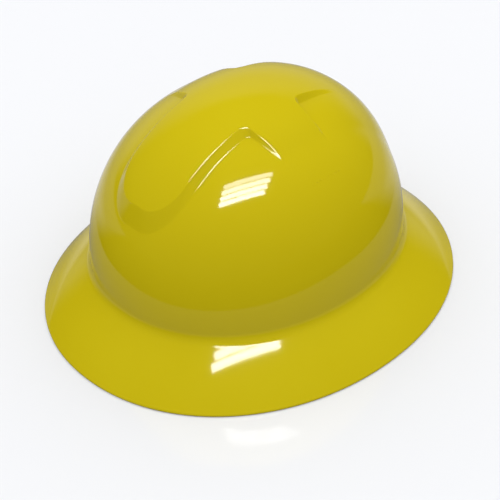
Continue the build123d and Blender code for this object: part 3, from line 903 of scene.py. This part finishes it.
def build_nape_strap(side):
    """Moulded strap from the side pivot round to the ratchet, with its rack window in the flat part."""
    before = strap_bends(side)
    flat_length = strap_flat_half * 2
    edge, clear = rack_edge()
    flat_start = before[-1]
    flats = np.unique(np.round(np.concatenate([
        np.linspace(0, flat_length, strap_flat_columns)[1:], strap_flat_half + edge[:, 0],
    ]), 8))
    flats = flats[(flats > 0) & (flats <= flat_length)]
    flat = np.array([(flat_start[0] - side * s, flat_start[1], flat_start[2]) for s in flats])
    curl = (strap_tail, side * strap_tail / strap_corner_radius)
    tail = walk(flat[-1][:2], flat_start[2], [curl], strap_tail_spacing)[1:]
    rounding = -strap_height / 2 * np.cos(np.linspace(strap_end_turn, pi / 2, strap_end_columns))
    early = before[:strap_early_columns]
    head = np.column_stack([np.interp(rounding, early[:, 1], early[:, k]) for k in (0, 1, 2)])
    head[:, 1] = rounding
    line = np.vstack([head, before[before[:, 1] > strap_end_margin], flat, tail])
    left, right = edge[0, 0], edge[-1, 0]
    columns = []
    for x, depth, heading in line:
        column = (x, depth, heading, sqrt((strap_height / 2) ** 2 - min(0, depth) ** 2))
        u = -side * x
        in_flat = abs(x) <= strap_flat_half + same_place and depth > strap_corner_radius
        at_left, at_right = abs(u - left) < same_place, abs(u - right) < same_place
        if in_flat and (at_left or at_right or left < u < right):
            toothed = float(np.interp(u, edge[:, 0], edge[:, 1]))
            window = (-clear, toothed) if side > 0 else (-toothed, clear)
            if at_left:
                columns.append((*column, 0, 0))
            columns.append((*column, *window))
            if at_right:
                columns.append((*column, 0, 0))
        else:
            columns.append((*column, 0, 0))
    points, faces = [], []
    for x, depth, heading, half, low, high in columns:
        away = np.array((-sin(heading), cos(heading))) * strap_thickness / 2
        for face in (1, -1):
            for level in (-half, low, high, half):
                points.append(in_nape(x + away[0] * face, depth + away[1] * face, level))
    starts = range(0, len(points), 8)
    for a, b in zip(starts, starts[1:]):
        for level in (0, 2):
            faces.append((a + level, b + level, b + level + 1, a + level + 1))
            faces.append((a + 4 + level, a + 5 + level, b + 5 + level, b + 4 + level))
        for level in (0, 1, 2, 3):
            faces.append((a + level, a + 4 + level, b + 4 + level, b + level))
    for end in (starts[0], starts[-1]):
        for level in (0, 2):
            faces.append((end + level, end + level + 1, end + level + 5, end + level + 4))
    name = "left" if side > 0 else "right"
    return finish_mesh(add_mesh(f"nape_strap_{name}_flexing", points, faces), strap_sharp_angle)


# Materials


def new_material(name):
    """New material with its node tree and its shader."""
    material = bpy.data.materials.new(name)
    material.use_nodes = True
    tree = material.node_tree
    return material, tree, tree.nodes["Principled BSDF"]


def feed(tree, value, socket):
    """Links another node's output to a socket, or sets the socket to a number, colour or vector."""
    if isinstance(value, bpy.types.NodeSocket):
        tree.links.new(value, socket)
    else:
        socket.default_value = value


def node(tree, kind, **values):
    """New node with its settings and sockets, which may take another node's output."""
    made = tree.nodes.new(kind)
    for key, value in values.items():
        if key in made.inputs:
            feed(tree, value, made.inputs[key])
        else:
            setattr(made, key, value)
    return made


def light_path(tree, kind):
    """1 for rays of a kind and 0 for others."""
    return node(tree, "ShaderNodeLightPath").outputs[kind]


def math(tree, operation, *values):
    """Output of a math node whose inputs are numbers or other nodes' outputs."""
    made = node(tree, "ShaderNodeMath", operation=operation)
    for socket, value in zip(made.inputs, values):
        feed(tree, value, socket)
    return made.outputs[0]


def mix(tree, share, first, second):
    """Number that goes from the first to the second with the share."""
    return math(tree, "MULTIPLY_ADD", share, math(tree, "SUBTRACT", second, first), first)


def map_range(tree, value, low, high, first=0.0, last=1.0, kind="LINEAR"):
    """Number that goes from the first to the last one while a value goes from low to high."""
    made = node(tree, "ShaderNodeMapRange", interpolation_type=kind, Value=value)
    for key, number in zip(("From Min", "From Max", "To Min", "To Max"), (low, high, first, last)):
        made.inputs[key].default_value = number
    return made.outputs["Result"]


def object_place(tree):
    """Place on a piece, in metres."""
    return node(tree, "ShaderNodeTexCoord").outputs["Object"]


def noise(tree, scale, detail=2.0, roughness=0.5):
    """Noise over a piece with this many cells in a metre."""
    made = node(tree, "ShaderNodeTexNoise", Vector=object_place(tree), Scale=scale)
    made.inputs["Detail"].default_value = detail
    made.inputs["Roughness"].default_value = roughness
    return made.outputs["Fac"]


def surface(tree, shader, shade, low, high, roughness, relief, strength, depth, start=0.0, end=1.0):
    """Colours a shader from low to high with a shade, bumps it with a relief and sets its roughness."""
    tint = node(tree, "ShaderNodeValToRGB", Fac=shade)
    for element, place, color in zip(tint.color_ramp.elements, (start, end), (low, high)):
        element.position = place
        element.color = (*color, 1)
    bump = node(tree, "ShaderNodeBump", Height=relief, Strength=strength, Distance=depth)
    feed(tree, tint.outputs["Color"], shader.inputs["Base Color"])
    feed(tree, roughness, shader.inputs["Roughness"])
    feed(tree, bump.outputs["Normal"], shader.inputs["Normal"])


def shades(color, *shares):
    """A colour times each of these shares."""
    return [[part * share for part in color] for share in shares]


def shell_plastic():
    """Glossy moulded plastic, yellow all through, with a faint waviness and a slightly uneven gloss."""
    material, tree, shader = new_material("shell_plastic")
    cloud = noise(tree, 14.0, 3.0)
    surface(
        tree, shader, cloud, (0.575, 0.462, 0.0052), (0.590, 0.478, 0.0060), start=0.3, end=0.7,
        roughness=map_range(tree, cloud, 0, 1, 0.045, 0.085),
        relief=noise(tree, 60.0, roughness=0.4), strength=0.05, depth=0.4 * mm,
    )
    shader.inputs["IOR"].default_value = 1.5
    return material


def moulded_plastic(name, color, roughness, grain):
    """Matt moulded plastic with a fine spark-eroded grain."""
    material, tree, shader = new_material(name)
    broad = noise(tree, 90.0, 3.0)
    surface(
        tree, shader, broad, *shades(color, 0.85, 1.15),
        roughness=map_range(tree, broad, 0, 1, roughness - 0.06, roughness + 0.06),
        relief=noise(tree, 2600.0), strength=grain, depth=0.1 * mm,
    )
    return material


def ripple(tree, value, pitch, shift=0.0):
    """Wave of a length along a value, from -1 to 1."""
    return math(tree, "SINE", math(tree, "MULTIPLY_ADD", value, 2 * pi / pitch, shift))


def cloth(name, weave, low, high, roughness, bump_height, sheen):
    """Cloth bumped by the height of its weave and also coloured by it, its low parts darker as painted
    shade, over a broad unevenness of tone.
    """
    material, tree, shader = new_material(name)
    place = node(tree, "ShaderNodeAttribute", attribute_name="strip").outputs["Vector"]
    parts = node(tree, "ShaderNodeSeparateXYZ", Vector=place)
    fibre = math(tree, "SUBTRACT", noise(tree, 4200.0), 0.5)
    broad = math(tree, "SUBTRACT", noise(tree, 70.0, 4.0, 0.6), 0.5)
    level = math(tree, "MULTIPLY_ADD", fibre, 0.5, weave(tree, parts.outputs["X"], parts.outputs["Y"]))
    # Painted shade: the colour follows the weave's height, so hollows between threads are darker and raised
    # threads and selvedges paler; the broad and fibre noise are random tone.
    surface(
        tree, shader, math(tree, "MULTIPLY_ADD", broad, 0.7, level), low, high, start=0.1, end=0.8,
        roughness=math(tree, "MULTIPLY_ADD", level, -0.12, roughness),
        relief=level, strength=0.8, depth=bump_height,
    )
    shader.inputs["Sheen Weight"].default_value = sheen
    return material


def webbing_weave(tree, s, w):
    """Narrow-woven webbing: cross ribs split by the warp, and a raised selvedge along each side."""
    warp = math(tree, "MULTIPLY", ripple(tree, s, 1.5 * mm), ripple(tree, w, 1.9 * mm))
    ribs = ripple(tree, s, 0.75 * mm)
    weave = math(tree, "MULTIPLY_ADD", warp, 0.3, math(tree, "MULTIPLY_ADD", ribs, 0.17, 0.52))
    at_side = math(tree, "GREATER_THAN", math(tree, "ABSOLUTE", w), web_width / 2 - 1.3 * mm)
    selvedge = math(tree, "MULTIPLY_ADD", ripple(tree, s, 1.1 * mm), 0.22, 0.7)
    return mix(tree, at_side, weave, selvedge)


def twill_weave(tree, s, w):
    """Fine twill of a brushed cloth."""
    twill = ripple(tree, math(tree, "ADD", s, w), 0.85 * mm)
    cross = ripple(tree, math(tree, "SUBTRACT", s, w), 1.7 * mm)
    return math(tree, "MULTIPLY_ADD", twill, 0.26, math(tree, "MULTIPLY_ADD", cross, 0.1, 0.5))


def knit_weave(tree, s, w):
    """Warp knit: columns of small slanted loops."""
    columns = ripple(tree, s, 1.3 * mm)
    slant = math(tree, "MULTIPLY", math(tree, "ABSOLUTE", ripple(tree, s, 2.6 * mm)), 0.5 * mm)
    rows = ripple(tree, math(tree, "ADD", w, slant), 1.1 * mm)
    return math(tree, "MULTIPLY_ADD", rows, 0.28, math(tree, "MULTIPLY_ADD", columns, 0.18, 0.5))


def sewing_thread(name, color):
    """Twisted polyester thread."""
    material, tree, shader = new_material(name)
    twist = noise(tree, 2400.0)
    surface(
        tree, shader, twist, *shades(color, 0.7, 1.2),
        roughness=0.6, relief=twist, strength=0.6, depth=0.1 * mm,
    )
    return material


def zinc_steel():
    """Zinc-plated steel with fine tool marks and slightly uneven plating."""
    material, tree, shader = new_material("steel")
    marks = noise(tree, 5200.0, 3.0)
    surface(
        tree, shader, noise(tree, 600.0), (0.47, 0.47, 0.49), (0.62, 0.62, 0.62),
        roughness=math(tree, "MULTIPLY_ADD", marks, 0.25, 0.2),
        relief=marks, strength=0.25, depth=0.05 * mm,
    )
    shader.inputs["Metallic"].default_value = 1
    return material


def dress(name, material):
    """Gives every slot of a node of the frame the same material."""
    piece = nodes[name]
    if not piece.data.materials:
        piece.data.materials.append(material)
    for slot in piece.material_slots:
        slot.material = material


# Camera, light and stage

picture = 500
focal_pixels = 1444.6
view_azimuth = radians(49.66)
view_elevation = radians(38.15)
view_roll = radians(-3.73)
view_distance = 1.1155
view_right = -0.0003
view_up = 0.01805

window_middle = Vector((0.06, -0.06, 0.1))
window_azimuth = 62.5
window_elevation = 63.5
window_distance = 1.5
window_width = 0.92
window_height = 0.46
window_slant = 0.55
window_bars = 4
window_bar_share = 0.84
window_top_dimming = 0.5
window_power = 24

backdrop_azimuth = -131
high_screen_sides = (0.55, 0.85)
high_screen_levels = (0.74, 0.62)
low_screen_sides = (0.62, 0.85)
low_screen_levels = (0.42, 0.12)
gloss_room = 0.01
gloss_backdrop = 0.3
gloss_horizon = 0.38
fill_low = 0.62
fill_high = 1.50
fill_side = 0.12

floor_half = 4.0
floor_drop = 0.4 * mm
floor_in_gloss = 0.22
floor_behind = 0.75
floor_behind_start = (0.05, 0.18)
floor_bounce = 0.2
floor_glow = 0.14
floor_mirror = 0.1
table_radius = 0.27


def view_axes():
    """Directions ahead of the camera, to its right and up."""
    ahead = Vector((
        -sin(view_azimuth) * cos(view_elevation), cos(view_azimuth) * cos(view_elevation),
        -sin(view_elevation),
    ))
    level = Vector((cos(view_azimuth), sin(view_azimuth), 0))
    upward = level.cross(ahead)
    right = cos(view_roll) * level + sin(view_roll) * upward
    up = -sin(view_roll) * level + cos(view_roll) * upward
    return ahead, right, up


def aim(piece, place, right, up, back):
    """Puts a camera or lamp at a place, turned to face away from its back."""
    piece.matrix_world = Matrix.Translation(place) @ Matrix((right, up, back)).transposed().to_4x4()


def add_camera():
    """Camera at the photograph's place, angle and lens."""
    ahead, right, up = view_axes()
    data = bpy.data.cameras.new("photo_camera")
    data.sensor_width = 36
    data.lens = focal_pixels / picture * data.sensor_width
    data.clip_start = 0.01
    camera = add_object("photo_camera", data)
    aim(camera, view_right * right + view_up * up - view_distance * ahead, right, up, -ahead)
    bpy.context.scene.camera = camera


def direction(azimuth, elevation):
    """Unit vector: azimuth 0 is the hat's front, 90 the wearer's left."""
    a, e = radians(azimuth), radians(elevation)
    return Vector((sin(a) * cos(e), -cos(a) * cos(e), sin(e)))


def add_window():
    """A bright window behind blinds: stripes in the gloss, with no part in the soft lighting."""
    toward = direction(window_azimuth, window_elevation)
    right = Vector((0, 0, 1)).cross(toward).normalized()
    up = toward.cross(right)
    pitch = window_height / window_bars
    for index in range(window_bars):
        data = bpy.data.lights.new(f"window_{index}", "AREA")
        data.shape = "RECTANGLE"
        data.size = window_width
        data.size_y = pitch * window_bar_share
        dimming = window_top_dimming * (index / (window_bars - 1)) ** 2
        data.energy = window_power / window_bars * (1 - dimming)
        light = add_object(f"window_{index}", data)
        step = (up + right * window_slant) * (index - (window_bars - 1) / 2) * pitch
        aim(light, window_middle + toward * window_distance + step, right, up, toward)
        light.visible_diffuse = False


def between(tree, value, low, high):
    """Share of the way from the low value to the high one, smooth at both ends."""
    return map_range(tree, value, low, high, kind="SMOOTHSTEP")


def dot(tree, value, axis):
    """How far a place or direction reaches along an axis."""
    made = node(tree, "ShaderNodeVectorMath", operation="DOT_PRODUCT")
    tree.links.new(value, made.inputs[0])
    made.inputs[1].default_value = axis
    return made.outputs["Value"]


def add_world():
    """Soft light that is brighter overhead, a dim backdrop in the gloss, and white for the camera."""
    world = bpy.data.worlds.new("studio")
    bpy.context.scene.world = world
    world.use_nodes = True
    tree = world.node_tree
    tree.nodes.clear()
    way = node(tree, "ShaderNodeTexCoord").outputs["Generated"]
    back = dot(tree, way, direction(backdrop_azimuth, 0))
    height = dot(tree, way, (0, 0, 1))
    gloss = gloss_room
    for sides, levels, brightness in (
        (high_screen_sides, high_screen_levels, gloss_backdrop),
        (low_screen_sides, low_screen_levels, gloss_horizon),
    ):
        screen = math(tree, "MULTIPLY", between(tree, back, *sides), between(tree, height, *levels))
        gloss = mix(tree, screen, gloss, brightness)
    fill = mix(tree, math(tree, "MAXIMUM", height, 0.0), fill_low, fill_high)
    fill = math(tree, "MULTIPLY_ADD", dot(tree, way, (1, 0, 0)), fill_side, fill)
    seen = mix(tree, light_path(tree, "Is Glossy Ray"), fill, gloss)
    seen = mix(tree, light_path(tree, "Is Camera Ray"), seen, 1.0)
    light = node(tree, "ShaderNodeBackground", Color=(1, 1, 1, 1), Strength=seen)
    node(tree, "ShaderNodeOutputWorld", Surface=light.outputs[0])


def mix_shaders(tree, share, first, second):
    """Shader that goes from the first to the second with the share."""
    made = node(tree, "ShaderNodeMixShader", Fac=share)
    tree.links.new(first.outputs[0], made.inputs[1])
    tree.links.new(second.outputs[0], made.inputs[2])
    return made


def add_floor():
    """Pale glossy floor: near white for the camera, a duller table top in the gloss and bounce light."""
    corners = ((-1, -1), (1, -1), (1, 1), (-1, 1))
    points = [(x * floor_half, y * floor_half, -floor_drop) for x, y in corners]
    floor = add_mesh("floor", points, [(0, 1, 2, 3)], smooth=False)
    material, tree, shader = new_material("floor_white")
    for key, value in (
        ("Base Color", (0.78, 0.79, 0.82, 1)), ("Roughness", 0.6),
        ("Emission Color", (1, 1, 1, 1)), ("Emission Strength", floor_glow),
    ):
        shader.inputs[key].default_value = value
    mirror = node(tree, "ShaderNodeBsdfGlossy", Roughness=0.06)
    polished = mix_shaders(tree, floor_mirror, shader, mirror)
    place = object_place(tree)
    span = node(tree, "ShaderNodeVectorMath", operation="LENGTH")
    tree.links.new(place, span.inputs[0])
    span = span.outputs["Value"]
    table = math(tree, "MULTIPLY", math(tree, "LESS_THAN", span, table_radius), floor_in_gloss)
    behind = between(tree, dot(tree, place, direction(backdrop_azimuth, 0)), *floor_behind_start)
    fade = map_range(tree, span, table_radius / 2, table_radius * 2, floor_behind, floor_behind / 3)
    shade = mix(tree, behind, table, fade)
    shade = mix(tree, light_path(tree, "Is Glossy Ray"), floor_bounce, shade)
    dull = node(tree, "ShaderNodeBsdfDiffuse", Color=shade)
    choice = mix_shaders(tree, light_path(tree, "Is Camera Ray"), dull, polished)
    tree.links.new(choice.outputs[0], tree.nodes["Material Output"].inputs["Surface"])
    floor.data.materials.append(material)


bpy.context.scene.view_settings.view_transform = "Standard"
add_camera()
add_world()
add_floor()
add_window()

# Dressing the hat

yellow = shell_plastic()
dark = moulded_plastic("suspension_plastic", (0.05, 0.052, 0.056), 0.5, 0.25)
black = moulded_plastic("knob_plastic", (0.012, 0.012, 0.013), 0.38, 0.2)

shell = build_shell()
shell.data.materials.append(yellow)
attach(shell, "root")
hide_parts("shell")

steel = zinc_steel()
webbing = cloth("webbing", webbing_weave, (0.30, 0.29, 0.26), (0.64, 0.63, 0.585), 0.85, 0.22 * mm, 0.25)
brow_cloth = cloth(
    "pad_cloth", twill_weave, (0.045, 0.045, 0.048), (0.125, 0.125, 0.132), 0.94, 0.16 * mm, 0.5,
)
nape_knit = cloth("pad_foam", knit_weave, (0.012, 0.012, 0.013), (0.048, 0.048, 0.051), 0.92, 0.2 * mm, 0.35)
white_thread = sewing_thread("thread_white", (0.66, 0.65, 0.61))
grey_thread = sewing_thread("thread_grey", (0.16, 0.16, 0.17))
black_thread = sewing_thread("thread_black", (0.055, 0.055, 0.058))


def settle(piece, material, body, stands_for):
    """Gives a new piece its material, and lets it ride with a body in place of a node of the frame."""
    piece.data.materials.append(material)
    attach(piece, body)
    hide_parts(stands_for)


for strap_name, angle, apex in (
    ("crown_strap_lower", -key_angle, web_apex), ("crown_strap_upper", key_angle, web_apex + web_lift),
):
    strap, strap_stitching = build_crown_strap(strap_name + "_webbing", angle, apex)
    settle(strap, webbing, "root", strap_name)
    settle(strap_stitching, white_thread, "root", strap_name)

patch, patch_stitching = build_crown_patch()
settle(patch, webbing, "root", "crown_patch")
settle(patch_stitching, white_thread, "root", "crown_patch")

brow_pad, brow_stitching = build_brow_pad()
settle(brow_pad, brow_cloth, "headband", "brow_pad")
settle(brow_stitching, grey_thread, "headband", "brow_pad")

flat_depth = (strap_bends(1)[-1][1] + strap_bends(-1)[-1][1]) / 2
nape_pad, nape_stitching = build_nape_pad(flat_depth - housing_channel - housing_base - fit_gap)
settle(nape_pad, nape_knit, "ratchet", "nape_pad")
settle(nape_stitching, black_thread, "ratchet", "nape_pad")

for side, name in ((1, "nape_strap_left"), (-1, "nape_strap_right")):
    strap = build_nape_strap(side)
    strap.data.materials.append(dark)
    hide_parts(name)
    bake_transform(strap)

replaced = (
    "shell", "crown_strap_lower", "crown_strap_upper", "crown_patch", "brow_pad", "nape_pad",
    "nape_strap_left", "nape_strap_right",
)
not_dark = {"knob": black, "knob_screw": steel, "cover_screws": steel}
for name in nodes:
    if name not in replaced:
        dress(name, not_dark.get(name, dark))
